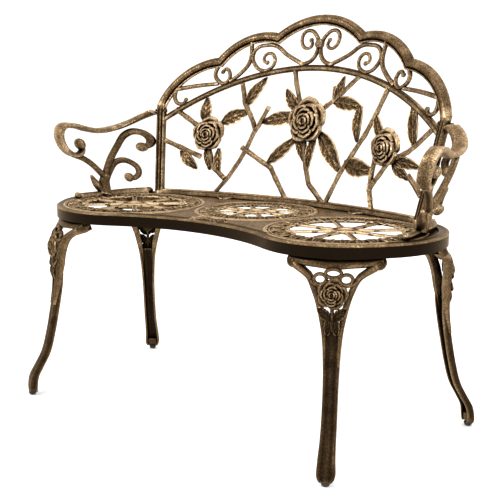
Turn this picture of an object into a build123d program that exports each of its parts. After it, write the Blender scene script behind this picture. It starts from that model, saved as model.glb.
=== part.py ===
from build123d import *
import os
from math import asin, atan2, cos, degrees, hypot, radians, sin, sqrt, tan

# Cast-aluminium garden bench: a pierced kidney-shaped seat, a curved back with a rose
# tracery, two scrolled arms and four cabriole legs, bolted together.
# Millimetres.  +X is the right arm's side, -Y is the front, +Z is up from the floor.

# Seat casting
seat_height = 410          # floor to the sitting surface
plate_thickness = 6        # cast plate of the seat
skirt_depth = 17           # apron that hangs below the plate
skirt_wall = 4.5
skirt_end_y = 70           # the skirt runs round the front and ends over the rear legs
lobe_x = 281               # centre of each end medallion, from the middle of the bench
lobe_y = -52
lobe_radius = 169          # front corners, round the end medallions
corner_x = 296             # centre of each rear corner
corner_y = -31
front_edge_y = -152.5      # middle of the hollow front edge
middle_y = 29              # centre of the middle medallion
end_ring = 148             # outer radius of the end medallions' leaf bands
middle_ring = 122          # outer radius of the middle medallion's leaf band
leaf_band = 38             # width of a leaf band
hub_radius = 27
hub_hole = 13
spoke_width = 13
spokes = 8

# Back casting: a flat pattern bent round a radius and leaning to the rear
back_rise = 412            # seat to the top of the crest
back_width = 786           # over the crest at its widest
back_radius = 1000         # plan radius of the back's middle surface
back_lean = 14.9           # degrees from upright
back_y = 163               # middle surface at seat level, on the centre line
drawn_width = 786          # the pattern is drawn at these two sizes
drawn_rise = 412
post_width = 21
post_depth = 18
crest_width = 22
crest_depth = 17
arch_width = 11.5
arch_depth = 13
seat_rail_height = 12
seat_rail_depth = 16
scroll_width = 8
scroll_depth = 9
stem_width = 8.5
stem_depth = 9
rose_front = 15            # how far a rose stands before the middle surface

# Arms
arm_rise = 150             # seat to the middle of the armrest band, at its lowest
arm_lean = 0.33            # outward run of an arm for each mm of height
arm_x = 414                # middle of the base rail, along its straight run
arm_toe = 0.17             # outward run of an arm for each mm forward of its bend
arm_front_y = -84          # front end of the base rail
arm_bend_radius = 126      # plan radius where the arm turns in to the post
arm_bend_y = 1             # where that bend starts
arm_band_width = 30
arm_band_thickness = 12
arm_strut_width = 13
arm_strut_depth = 13
arm_rail_height = 13

# Legs: four like castings, each a channel open to the inside
leg_angle_front = 27.5     # plan angle of a front leg, out from straight ahead
leg_angle_rear = 37.4      # the same for a rear leg, from straight behind
leg_gap = 0.5              # between a leg's face and the inside of the skirt
foot_reach = 86            # outer face at the foot, beyond the face at the seat
leg_channel = 16           # depth of the channel section
leg_wall = 4.5
bracket_half = 88          # half width of the bracket under the seat
brow_depth = 15            # bar along the top of the bracket, below the skirt
shin_half = 14             # half width of the leg at its slimmest
foot_half = 16.5
foot_block = 20            # solid metal above the glide

# Glides and fasteners
glide_radius = 8.5
glide_height = 8
glide_flat = 4.5           # radius of the flat that rests on the floor
stem_radius = 4
stem_length = 12
bolt_radius = 3            # M6
head_radius = 5.6
head_height = 4
washer_radius = 7.5
washer_thickness = 1.5
hole_clearance = 0.5
tab_thickness = 6
tab_half = 45
tab_reach = 40             # tab length in from the leg's face
leg_bolt_radius = 138      # leg bolts, from the corner's centre
leg_bolt_half = 28         # and either side of the leg's middle
boss_radius = 8
boss_height = 8
thread_depth = 9           # bolt thread in a casting
spot_face = 1.5            # flat sunk in a post for the arm bolt's head

plate_under = seat_height - plate_thickness
skirt_under = plate_under - skirt_depth
back_height = seat_height + back_rise
sides = {"right": 1, "left": -1}


def save(name, shape):
    """Write one node, with its loose solids grouped."""
    export_step(Compound(children=shape.solids()), f"parts/{name}.step")


def mirrored(shape, side):
    return shape if side > 0 else mirror(shape, about=Plane.YZ)


def polar(centre, radius, angle):
    return (centre[0] + radius * cos(radians(angle)), centre[1] + radius * sin(radians(angle)))


def ring(radius, width):
    return Circle(radius) - Circle(radius - width)


# ------------------------------------------------------------------ seat casting
def seat_outline():
    """Closed plan outline: hollow front, round ends, rear edge along the back's curve."""
    hollow = lobe_y - front_edge_y
    front_radius = (lobe_x ** 2 + hollow ** 2 - lobe_radius ** 2) / (2 * (lobe_radius - hollow))
    front_centre = (0, front_edge_y - front_radius)
    meet = degrees(atan2(lobe_y - front_centre[1], lobe_x))
    rear_centre = (0, back_y - back_radius)
    rear_angle = degrees(atan2(corner_y - rear_centre[1], corner_x))
    rear_radius = hypot(corner_x, corner_y - rear_centre[1]) + lobe_radius
    side_angle = degrees(atan2(corner_y - lobe_y, corner_x - lobe_x)) - 90
    front_left = polar(front_centre, front_radius, 180 - meet)
    front_right = polar(front_centre, front_radius, meet)
    lobe_end = polar((lobe_x, lobe_y), lobe_radius, side_angle)
    corner_start = polar((corner_x, corner_y), lobe_radius, side_angle)
    rear_right = polar(rear_centre, rear_radius, rear_angle)
    lobe_mid = polar((lobe_x, lobe_y), lobe_radius, (side_angle + meet - 180) / 2)
    corner_mid = polar((corner_x, corner_y), lobe_radius, (side_angle + rear_angle) / 2)
    half = [ThreePointArc(front_right, lobe_mid, lobe_end), Line(lobe_end, corner_start),
            ThreePointArc(corner_start, corner_mid, rear_right)]
    front = ThreePointArc(front_left, (0, front_edge_y), front_right)
    rear = ThreePointArc(rear_right, (0, rear_centre[1] + rear_radius), (-rear_right[0], rear_right[1]))
    return make_face([front, *half, rear, *[mirror(edge, about=Plane.YZ) for edge in half]])


def medallion_holes(radius):
    """Openings of one medallion: a hub hole and the gaps between the spokes."""
    gaps = Circle(radius - leaf_band) - Circle(hub_radius)
    for i in range(spokes // 2):
        gaps -= Rot(0, 0, i * 360 / spokes) * Rectangle(3 * radius, spoke_width)
    return gaps + Circle(hub_hole)


def leaf_holes(radius):
    """Small piercings along a medallion's leaf band, one each side of every spoke."""
    holes = PolarLocations(radius - leaf_band / 2, 2 * spokes, start_angle=180 / spokes / 2)
    return holes * Circle(leaf_band / 7)


def bolt_places(kind):
    """Plan places of the bolts that come up through the seat plate."""
    if kind == "arm":
        rear_y = arm_bend_y + 18
        rear_x = arm_x - arm_bend_radius + sqrt(arm_bend_radius ** 2 - (rear_y - arm_bend_y) ** 2)
        front_y = arm_front_y + 35
        right = [(arm_x + arm_toe * (arm_bend_y - front_y), front_y), (rear_x, rear_y)]
    else:
        right = [(x, back_y - x * x / (2 * back_radius)) for x in (0.12 * back_width, 0.3 * back_width)]
    return right + [(-x, y) for x, y in right]


def leg_places():
    """Name, corner centre, plan angle of each leg."""
    for end, (x, y), angle in (("front", (lobe_x, lobe_y), leg_angle_front - 90),
                               ("rear", (corner_x, corner_y), 90 - leg_angle_rear)):
        yield f"{end}_right", (x, y), angle
        yield f"{end}_left", (-x, y), 180 - angle


def leg_bolt_places():
    spread = degrees(asin(leg_bolt_half / leg_bolt_radius))
    return [polar(centre, leg_bolt_radius, angle + turn)
            for _, centre, angle in leg_places() for turn in (-spread, spread)]


def seat_plate():
    outline = seat_outline()
    openings = Pos(0, middle_y) * (medallion_holes(middle_ring) + leaf_holes(middle_ring))
    for x in (-lobe_x, lobe_x):
        openings += Pos(x, lobe_y) * (medallion_holes(end_ring) + leaf_holes(end_ring))
    plate = Pos(0, 0, plate_under) * extrude(outline - openings, plate_thickness)
    skirt = outline - offset(outline, -skirt_wall)
    skirt -= Pos(0, skirt_end_y) * Rectangle(4 * lobe_x, 4 * lobe_radius, align=(Align.CENTER, Align.MIN))
    plate += Pos(0, 0, skirt_under) * extrude(skirt, skirt_depth)
    bosses = Locations([(x, y, plate_under - boss_height) for x, y in leg_bolt_places()])
    plate += [at * extrude(Circle(boss_radius), boss_height) for at in bosses]
    threads = Locations([(x, y, plate_under - boss_height) for x, y in leg_bolt_places()])
    plate -= [at * extrude(Circle(bolt_radius), thread_depth + 2) for at in threads]
    clear = Locations([(x, y, plate_under) for x, y in bolt_places("arm") + bolt_places("back")])
    plate -= [at * extrude(Circle(bolt_radius + hole_clearance), plate_thickness) for at in clear]
    return plate


# ------------------------------------------------------------------ back casting
def on_back(x, rise):
    """A point of the flat pattern, in the XZ plane."""
    return (x * back_width / drawn_width, seat_height + rise * back_rise / drawn_rise)


def back_sheet(front, rear):
    """The bent, leaning sheet between two depths, measured from its middle surface."""
    band = Circle(back_radius + rear) - Circle(back_radius - front)
    band = band & (Pos(0, back_radius) * Rectangle(2 * back_width, 2 * back_radius))
    band = Pos(0, back_y - back_radius, seat_height) * band
    run = (back_rise + 60) / cos(radians(back_lean))
    return extrude(band, run, dir=(0, sin(radians(back_lean)), cos(radians(back_lean))))


def cast(flat, front, rear):
    """Turn a flat pattern into metal of the given depths on the back's sheet."""
    block = extrude(Plane.XZ * flat, 2 * back_radius, both=True)
    return block & back_sheet(front, rear)


def strip(points, width):
    """Straight runs of one width through the points, with round ends and bends."""
    shape = Pos(*points[0]) * Circle(width / 2)
    for (x0, y0), (x1, y1) in zip(points, points[1:]):
        length = hypot(x1 - x0, y1 - y0)
        turn = degrees(atan2(y1 - y0, x1 - x0))
        run = Pos((x0 + x1) / 2, (y0 + y1) / 2) * Rot(0, 0, turn) * Rectangle(length, width)
        shape += run
        shape += Pos(x1, y1) * Circle(width / 2)
    return shape


def curl(points, width):
    """A bar of one width along a smooth curve, with round ends."""
    bar = trace(Spline(*points), width)
    return bar + Pos(*points[0]) * Circle(width / 2) + Pos(*points[-1]) * Circle(width * 0.8)


def leaf(base, tip, width):
    """An almond-shaped leaf from its stalk to its point."""
    mid = ((base[0] + tip[0]) / 2, (base[1] + tip[1]) / 2)
    length = hypot(tip[0] - base[0], tip[1] - base[1])
    across = ((base[1] - tip[1]) / length * width / 2, (tip[0] - base[0]) / length * width / 2)
    left = (mid[0] + across[0], mid[1] + across[1])
    right = (mid[0] - across[0], mid[1] - across[1])
    return make_face([ThreePointArc(base, left, tip), ThreePointArc(tip, right, base)])


def rose(radius):
    """Outline of an open rose: a round of overlapping petals."""
    petals = PolarLocations(radius * 0.62, 6, start_angle=12) * Circle(radius * 0.42)
    return Circle(radius * 0.7) + petals


def above_seat(flat):
    lift = seat_height + back_rise
    return flat & (Pos(0, lift) * Rectangle(2 * back_width, 2 * back_rise))


def post_flat():
    points = [on_back(348, -14), on_back(377, 190), on_back(380, 205)]
    return above_seat(strip(points, post_width))


def crest_flat():
    """Five lobes: one at the top and two down each side."""
    low, notch, peak = on_back(380, 205), on_back(254, 307), on_back(113, 361)
    arcs = [ThreePointArc(low, on_back(343, 266), notch), ThreePointArc(notch, on_back(187, 357), peak)]
    flat = trace(ThreePointArc(peak, on_back(0, 401), (-peak[0], peak[1])), crest_width)
    for arc in arcs:
        flat += trace(arc, crest_width)
        flat += mirror(trace(arc, crest_width), about=Plane.YZ)
    for x, z in (notch, peak):
        flat += Pos(x, z) * Circle(crest_width / 2) + Pos(-x, z) * Circle(crest_width / 2)
    return flat


def arch_flat():
    end = on_back(372, 172)
    return trace(ThreePointArc(end, on_back(0, 295.5), (-end[0], end[1])), arch_width)


def seat_rail_flat():
    return Pos(0, seat_height + seat_rail_height / 2) * Rectangle(back_width * 0.9, seat_rail_height)


def scroll_flats():
    """The scrolls between crest and arch, right-hand side, by name."""
    large = [(38, 304), (86, 325), (117, 344), (141, 345), (167, 339), (174, 321), (164, 300),
             (146, 288), (125, 291), (114, 305), (119, 321), (132, 327), (139, 316)]
    brace = [(181, 353), (179, 307), (198, 281), (222, 262)]
    small = [(256, 296), (261, 276), (249, 262), (235, 257), (224, 267), (225, 283), (236, 293), (241, 280)]
    side = [(350, 236), (351, 222), (340, 208), (326, 211), (323, 219)]
    bar = [(352, 242), (297, 252), (250, 257)]
    for name, curves in (("large", [large, brace]), ("small", [small]), ("side", [side, bar])):
        flat = None
        for points in curves:
            one = curl([on_back(x, z) for x, z in points], scroll_width)
            flat = one if flat is None else flat + one
        yield name, flat


# Right half of the lyre that is tied by the collar at the middle, as pattern points.
LYRE = [(40, 302), (15, 312), (4, 330), (3, 348), (15, 368), (34, 379), (49, 373), (51, 355),
        (41, 339), (28, 336), (20, 346), (27, 357)]

# Rose stems and leaves as lists of pattern points; a leaf is base, tip and width.
VINES = {
    "left": {
        "stems": [[(-345, 197), (-288, 162), (-262, 150)], [(-360, 124), (-316, 108), (-264, 89)],
                  [(-250, 118), (-225, 64), (-196, 43)],
                  [(-215, 6), (-187, 45), (-165, 83), (-152, 111), (-139, 148), (-131, 161), (-110, 208)],
                  [(-188, 258), (-174, 215), (-143, 170), (-137, 157)],
                  [(-164, 115), (-150, 108), (-108, 87), (-78, 73), (-63, 54), (-25, 6)]],
        "leaves": [((-270, 170), (-271, 224), 24), ((-226, 168), (-160, 196), 28),
                   ((-316, 102), (-268, 62), 20), ((-255, 108), (-236, 60), 15),
                   ((-222, 110), (-212, 56), 16), ((-171, 208), (-126, 272), 24),
                   ((-90, 84), (-20, 146), 24)]},
    "middle": {
        "stems": [[(-56, 296), (-28, 219), (-15, 200)], [(30, 200), (62, 226), (60, 258)],
                  [(62, 226), (82, 244), (127, 284)], [(-2, 150), (15, 82), (31, 46), (78, 6)]],
        "leaves": [((-34, 188), (-121, 172), 28), ((-28, 200), (-70, 248), 22),
                   ((66, 226), (82, 278), 18), ((62, 224), (144, 214), 26),
                   ((138, 218), (143, 142), 22), ((38, 156), (110, 76), 34),
                   ((26, 148), (20, 78), 18), ((-22, 142), (8, 92), 15)]},
    "right": {
        "stems": [[(82, 6), (112, 78), (137, 118), (162, 158), (183, 199), (209, 262)],
                  [(213, 6), (198, 51), (198, 85), (203, 124), (215, 135)],
                  [(199, 50), (219, 80), (243, 115)], [(262, 120), (309, 148), (352, 186)],
                  [(300, 88), (345, 52)]],
        "leaves": [((117, 98), (200, 86), 34), ((216, 150), (184, 204), 20),
                   ((300, 146), (284, 232), 24), ((250, 112), (330, 106), 20),
                   ((250, 110), (306, 80), 18)]},
}
ARM_BOLT = (377, 193)      # where the arm bolt crosses a post, on the pattern
ROSES = {"left": ((-252, 143), 36), "middle": ((2, 182), 46), "right": ((231, 138), 36)}


def vine_flat(plan):
    flat = None
    for points in plan["stems"]:
        one = strip([on_back(x, z) for x, z in points], stem_width)
        flat = one if flat is None else flat + one
    for base, tip, width in plan["leaves"]:
        flat += leaf(on_back(*base), on_back(*tip), width)
    return flat


def clean(flat, smallest=60):
    """Drop the crumbs that cutting one pattern by another leaves."""
    return Compound(children=[face for face in flat.faces() if face.area > smallest])


def make_back():
    """Cut the flat patterns clear of each other, then cast them."""
    post = post_flat()
    posts = post + mirror(post, about=Plane.YZ)
    crest = crest_flat() - posts
    arch = arch_flat() - posts - crest
    rail = seat_rail_flat() - posts
    frame = posts + crest + arch + rail
    collar = Pos(*on_back(0, 348)) * RectangleRounded(16, 12, 3)
    bolt_x, bolt_z = on_back(*ARM_BOLT)
    for side, sign in sides.items():
        solid = cast(post, post_depth / 2, post_depth / 2)
        axis = Plane(origin=(0, arm_bolt_y(), bolt_z), x_dir=(0, 1, 0), z_dir=(1, 0, 0))
        solid -= extrude(axis * Circle(bolt_radius + hole_clearance), 2 * bolt_x)
        solid -= extrude(axis * Circle(head_radius + hole_clearance), bolt_x + spot_face - post_width / 2)
        save(f"back_post_{side}", mirrored(solid, sign))
    save("back_crest", cast(clean(crest), crest_depth / 2, crest_depth / 2))
    save("back_arch", cast(clean(arch), arch_depth / 2, arch_depth / 2))
    seat_rail = cast(clean(rail), seat_rail_depth / 2, seat_rail_depth / 2)
    threads = Locations([(x, y, seat_height) for x, y in bolt_places("back")])
    seat_rail -= [at * extrude(Circle(bolt_radius), thread_depth) for at in threads]
    save("back_seat_rail", seat_rail)
    save("back_collar", cast(collar, crest_depth / 2, crest_depth / 2))
    taken = frame + collar
    lyre = curl([on_back(x, z) for x, z in LYRE], scroll_width)
    lyre = clean(lyre + mirror(lyre, about=Plane.YZ) - taken)
    taken += lyre
    save("scroll_lyre", cast(lyre, scroll_depth / 2, scroll_depth / 2))
    for name, flat in scroll_flats():
        flat = clean(flat - taken)
        taken += flat
        for side, sign in sides.items():
            save(f"scroll_{name}_{side}", cast(mirrored(flat, sign), scroll_depth / 2, scroll_depth / 2))
    taken = frame
    for name, (centre, radius) in ROSES.items():
        flower = Pos(*on_back(*centre)) * rose(radius)
        heart = Pos(*on_back(*centre)) * Circle(radius * 0.5)
        solid = cast(flower, rose_front * 0.6, stem_depth / 2) + cast(heart, rose_front, 0)
        save(f"rose_{name}", solid)
        taken = taken + flower
    for name, plan in VINES.items():
        flat = clean(vine_flat(plan) - taken)
        taken = taken + flat
        save(f"vine_{name}", cast(flat, stem_depth / 2, stem_depth / 2))


# ------------------------------------------------------------------ arms
def arm_bolt_y():
    """Where the arm bolt crosses the post, on the back's middle surface."""
    x, z = on_back(*ARM_BOLT)
    drop = back_radius - sqrt(back_radius ** 2 - x * x)
    return back_y - drop + (z - seat_height) * tan(radians(back_lean))


def arm_sheet(width):
    """The upright sheet, bent in plan and leaning outward, that an arm is cast in."""
    centre = (arm_x - arm_bend_radius, arm_bend_y)
    reach = arm_bend_y - arm_front_y + 60
    straight = Line((arm_x + arm_toe * reach, arm_bend_y - reach), (arm_x, arm_bend_y))
    bend = CenterArc(centre, arm_bend_radius, 0, 100)
    flat = trace(straight, width) + trace(bend, width)
    run = 1.6 * arm_rise
    return extrude(Pos(0, 0, seat_height) * flat, run * hypot(1, arm_lean), dir=(arm_lean, 0, 1))


def arm_profile():
    """Side outlines of an arm in the YZ plane, as the band and the struts."""
    stretch = (arm_bend_y - arm_front_y) / 100

    def at(y, rise):
        reach = (y - 2) * (stretch if y < 2 else 1)
        return (arm_bend_y + reach, seat_height + rise * arm_rise / 150)
    top = Spline(at(150, 196), at(120, 181), at(86, 160), at(50, 151), at(14, 150), at(-28, 156),
                 at(-70, 166), at(-98, 164), at(-112, 146), at(-108, 118), at(-88, 99), at(-64, 98),
                 at(-50, 110))
    band = trace(top, arm_band_thickness)
    ball = Pos(*at(-52, 122)) * Circle(12)
    struts = curl([at(-84, 98), at(-50, 84), at(-20, 64), at(-4, 40), at(-14, 12), at(-18, 4)],
                  arm_strut_depth)
    struts += curl([at(-6, 36), at(12, 62), at(50, 108), at(86, 144), at(112, 146), at(128, 128),
                    at(122, 108), at(104, 104)], arm_strut_depth)
    struts += curl([at(-4, 30), at(18, 56), at(48, 76), at(76, 70), at(84, 50), at(70, 36), at(60, 36)],
                   arm_strut_depth * 0.85)
    rail_end = arm_bend_y + arm_bend_radius * 0.75
    rail = Pos((arm_front_y + rail_end) / 2, seat_height + arm_rail_height / 2)
    struts += rail * RectangleRounded(rail_end - arm_front_y, arm_rail_height, 3)
    return band + ball, struts


def make_arm():
    band, struts = arm_profile()
    side = Plane(origin=(0, 0, 0), x_dir=(0, 1, 0), z_dir=(1, 0, 0))
    solid = extrude(side * band, 2 * arm_x) & arm_sheet(arm_band_width)
    solid += extrude(side * struts, 2 * arm_x) & arm_sheet(arm_strut_width)
    solid -= cast(strip([on_back(348, -40), on_back(377, 190), on_back(382, 215)], post_width),
                  arm_band_width, arm_band_width)
    solid -= Pos(0, 0, seat_height) * Box(3000, 3000, 200, align=(Align.CENTER, Align.CENTER, Align.MAX))
    inner = on_back(*ARM_BOLT)[0]
    solid -= Pos(inner - 500, 0, seat_height + 100) * Box(1000, 3000, 3000)
    threads = Locations([(x, y, seat_height) for x, y in bolt_places("arm") if x > 0])
    solid -= [at * extrude(Circle(bolt_radius), thread_depth) for at in threads]
    x, z = on_back(*ARM_BOLT)
    hole = Plane(origin=(x, arm_bolt_y(), z), x_dir=(0, 1, 0), z_dir=(1, 0, 0)) * Circle(bolt_radius)
    solid -= extrude(hole, post_width / 2 + thread_depth)
    return solid.solids().sort_by(SortBy.VOLUME)[-1]


# ------------------------------------------------------------------ legs
def leg_face():
    """Half widths of a leg's front outline, as height and half width from the floor up."""
    top = plate_under
    neck = skirt_under - brow_depth
    return [(glide_height, foot_half), (0.1 * top, foot_half - 1), (0.2 * top, shin_half),
            (0.45 * top, shin_half), (0.62 * top, shin_half * 1.3), (0.745 * top, shin_half * 2),
            (0.82 * top, shin_half * 2.7), (neck - 14, bracket_half * 0.6), (neck - 2, bracket_half * 0.93)]


def leg_outline(inset=0):
    """Front outline in a plane across the leg: Y is up, X is across."""
    points = leg_face()
    right = Spline(*[(half - inset, z) for z, half in points])
    left = Spline(*[(inset - half, z) for z, half in points])
    low, high = points[0], points[-1]
    edge = bracket_half - inset
    lines = [Line((low[1] - inset, low[0]), (inset - low[1], low[0])),
             Line((high[1] - inset, high[0]), (edge, high[0] + 4)),
             Line((inset - high[1], high[0]), (-edge, high[0] + 4)),
             Line((edge, high[0] + 4), (edge, plate_under)),
             Line((-edge, high[0] + 4), (-edge, plate_under)),
             Line((edge, plate_under), (-edge, plate_under))]
    return make_face([right, left, *lines])


def leg_face_radius():
    """Radius of a leg's outer face where it stands inside the skirt."""
    return lobe_radius - skirt_wall - leg_gap


def foot_radius():
    """Radius of the middle of a foot, where its glide sits."""
    return leg_face_radius() + foot_reach - leg_channel / 2


def leg_profile(front, rear):
    """Side section, radius against height: the face curve thickened to the inside."""
    face = leg_face_radius()
    curve = [(0, 1), (12, 0.925), (19, 0.87), (22, 0.775), (23, 0.65), (27, 0.558), (33, 0.47),
             (42, 0.357), (54, 0.245), (71, 0.163), (82, 0.11), (86, 0.055)]
    reach = foot_reach / 86
    outer = [(face + r * reach - front, z * skirt_under) for r, z in curve]
    inner = [(r + front - rear, z) for r, z in outer]
    (top_out, _), (foot_out, low) = outer[0], outer[-1]
    (top_in, _), (foot_in, _) = inner[0], inner[-1]
    edges = [Line((foot_out, low), (foot_out, glide_height)), Line((foot_in, low), (foot_in, glide_height)),
             Line((foot_out, glide_height), (foot_in, glide_height)),
             Line((top_out, skirt_under), (top_out, plate_under)),
             Line((top_in, skirt_under), (top_in, plate_under)),
             Line((top_out, plate_under), (top_in, plate_under))]
    return make_face([Spline(*outer), Spline(*inner), *edges])


def leg_slab(front, rear):
    """The face curve swept round the corner's axis, as a curved sheet."""
    profile = Plane.XZ * leg_profile(front, rear)
    return Rot(0, 0, -50) * revolve(profile, Axis.Z, 100)


def leg_piercings():
    """Gaps of the bracket: two corners, two beside the rose and two slots below it."""
    neck = skirt_under - brow_depth
    gaps = None
    for s in (-1, 1):
        shapes = [[(30, neck), (66, neck), (40, neck - 18)],
                  [(31, neck - 24), (34, neck - 26), (23, neck - 55), (8, neck - 60), (25, neck - 40)],
                  [(7, neck - 78), (18, neck - 74), (12, neck - 110), (8, neck - 106)]]
        for points in shapes:
            hole = make_face(Polyline(*[(s * x, z) for x, z in points], close=True))
            gaps = hole if gaps is None else gaps + hole
    return gaps


def make_leg():
    """One leg at the axis, pointing along +X; the corner's centre is the origin."""
    across = Plane(origin=(0, 0, 0), x_dir=(0, 1, 0), z_dir=(1, 0, 0))
    reach = 2 * lobe_radius + foot_reach
    face = leg_face_radius()
    leg = extrude(across * leg_outline(), reach) & leg_slab(0, leg_channel)
    hollow = extrude(across * leg_outline(leg_wall), reach) & leg_slab(leg_wall, leg_channel + 30)
    keep = Pos(0, 0, glide_height + foot_block) * Box(
        4 * lobe_radius, 4 * lobe_radius, skirt_under - 8 - glide_height - foot_block,
        align=(Align.CENTER, Align.CENTER, Align.MIN))
    leg -= hollow & keep
    leg -= extrude(across * leg_piercings(), reach)
    tab = Pos(face - tab_reach / 2 - 2, 0, plate_under - boss_height - tab_thickness / 2)
    tab = tab * Box(tab_reach - 4, 2 * tab_half, tab_thickness)
    leg += tab & Cylinder(face - 1, 4 * seat_height)
    spread = degrees(asin(leg_bolt_half / leg_bolt_radius))
    for turn in (-spread, spread):
        x, y = polar((0, 0), leg_bolt_radius, turn)
        leg -= Pos(x, y, plate_under) * Cylinder(boss_radius + 0.5, 2 * boss_height)
        leg -= Pos(x, y, 0) * Cylinder(bolt_radius + hole_clearance, 3 * seat_height)
    socket = Pos(foot_radius(), 0, glide_height) * Cylinder(stem_radius, 2 * stem_length)
    return (leg - socket).solids().sort_by(SortBy.VOLUME)[-1]


def make_glide():
    """Domed plug with a short flat underneath and a stem for the foot's socket."""
    rim = glide_height - 2
    dome = ThreePointArc((glide_flat, 0), (glide_radius * 0.86, rim * 0.42), (glide_radius, rim))
    outline = Polyline((glide_radius, rim), (glide_radius, glide_height), (stem_radius, glide_height),
                       (stem_radius, glide_height + stem_length), (0, glide_height + stem_length),
                       (0, 0), (glide_flat, 0))
    return revolve(Plane.XZ * make_face([dome, outline]), Axis.Z)


# ------------------------------------------------------------------ fasteners
def bolt(length):
    """Hexagon bolt with its head seat at the origin and its shank upward."""
    head = Pos(0, 0, -head_height) * extrude(RegularPolygon(head_radius, 6), head_height)
    return head + Pos(0, 0, length / 2) * Cylinder(bolt_radius, length)


def washer():
    flat = Circle(washer_radius) - Circle(bolt_radius + hole_clearance)
    return Pos(0, 0, -washer_thickness) * extrude(flat, washer_thickness)


def group(places, z, shape):
    return Compound(children=[Pos(x, y, z) * shape for x, y in places])


def make_fasteners():
    tab_under = plate_under - boss_height - tab_thickness
    save("leg_washers", group(leg_bolt_places(), tab_under, washer()))
    leg_bolt = bolt(washer_thickness + tab_thickness + thread_depth)
    save("leg_bolts", group(leg_bolt_places(), tab_under - washer_thickness, leg_bolt))
    for kind in ("arm", "back"):
        places = bolt_places(kind)
        save(f"{kind}_seat_washers", group(places, plate_under, washer()))
        short = bolt(washer_thickness + plate_thickness + thread_depth - 1)
        save(f"{kind}_seat_bolts", group(places, plate_under - washer_thickness, short))
    x, z = on_back(*ARM_BOLT)
    post_bolt = bolt(post_width + thread_depth - 1)
    right = Pos(x - post_width / 2 + spot_face, arm_bolt_y(), z) * Rot(0, 90, 0) * post_bolt
    save("arm_post_bolts", Compound(children=[right, mirrored(right, -1)]))


save("seat_plate", seat_plate())
make_back()
for side, sign in sides.items():
    save(f"arm_{side}", mirrored(make_arm(), sign))
right_leg, glide = make_leg(), make_glide()
for name, centre, angle in leg_places():
    save(f"leg_{name}", Pos(*centre, 0) * Rot(0, 0, angle) * right_leg)
    foot = polar(centre, foot_radius(), angle)
    save(f"glide_{name}", Pos(*foot, 0) * glide)
make_fasteners()
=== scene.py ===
import math

import bpy
from mathutils import Matrix, Vector


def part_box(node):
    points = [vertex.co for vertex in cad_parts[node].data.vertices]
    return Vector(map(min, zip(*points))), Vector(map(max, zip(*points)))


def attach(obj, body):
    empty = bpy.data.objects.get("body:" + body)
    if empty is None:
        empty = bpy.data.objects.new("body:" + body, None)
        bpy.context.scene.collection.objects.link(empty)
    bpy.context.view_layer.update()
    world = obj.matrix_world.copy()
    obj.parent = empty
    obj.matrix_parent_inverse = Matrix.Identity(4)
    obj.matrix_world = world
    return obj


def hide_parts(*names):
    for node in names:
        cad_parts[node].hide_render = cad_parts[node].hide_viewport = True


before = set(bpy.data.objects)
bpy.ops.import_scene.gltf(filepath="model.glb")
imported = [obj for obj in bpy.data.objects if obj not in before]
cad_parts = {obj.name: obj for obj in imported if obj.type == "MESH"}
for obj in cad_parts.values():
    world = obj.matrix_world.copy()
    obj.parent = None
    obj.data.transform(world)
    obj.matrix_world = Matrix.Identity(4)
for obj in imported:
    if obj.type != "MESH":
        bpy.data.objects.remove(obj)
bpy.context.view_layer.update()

# ---------------------------------------------------------------- Seat casting
# A cast aluminium plate, kidney-shaped, with three spoked medallions and a ridged rim.  An apron hangs
# below its front and ends over the rear legs, so that light comes through the rear openings.
# Powder coated near black, then rubbed with gold, so raised edges shine and recesses stay dark; painted shade
# from ambient occlusion darkens recesses and spots close to other parts further.
# Sizes are in millimetres, and settle() turns them into metres.
SEAT_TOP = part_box("seat_plate")[1][2] * 1000
LOBE = (281, -52)
LOBE_RADIUS = 169
CORNER = (296, -31)
FRONT_EDGE = -152.5
MIDDLE = (0, 29)
BACK_RADIUS = 1000
BACK_Y = 163
SKIRT_END = 70
END_RING, MIDDLE_RING, LEAF_BAND = 148, 122, 38
LEAF_HOLE = 4.6
HUB_RADIUS, HUB_HOLE, SPOKES, SPOKE_HALF = 27, 13, 8, 4.8
BEADS = 30
PLATE = 3.5
FRONT_LEG_TURN, REAR_LEG_TURN = -62.5, 52.6         # degrees round the leg's corner, from the bench's right
BOSS_RADIUS, BOSS_LENGTH, BOSS_REACH, BOSS_TURN = 8, 10.5, 138, 11.7


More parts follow.
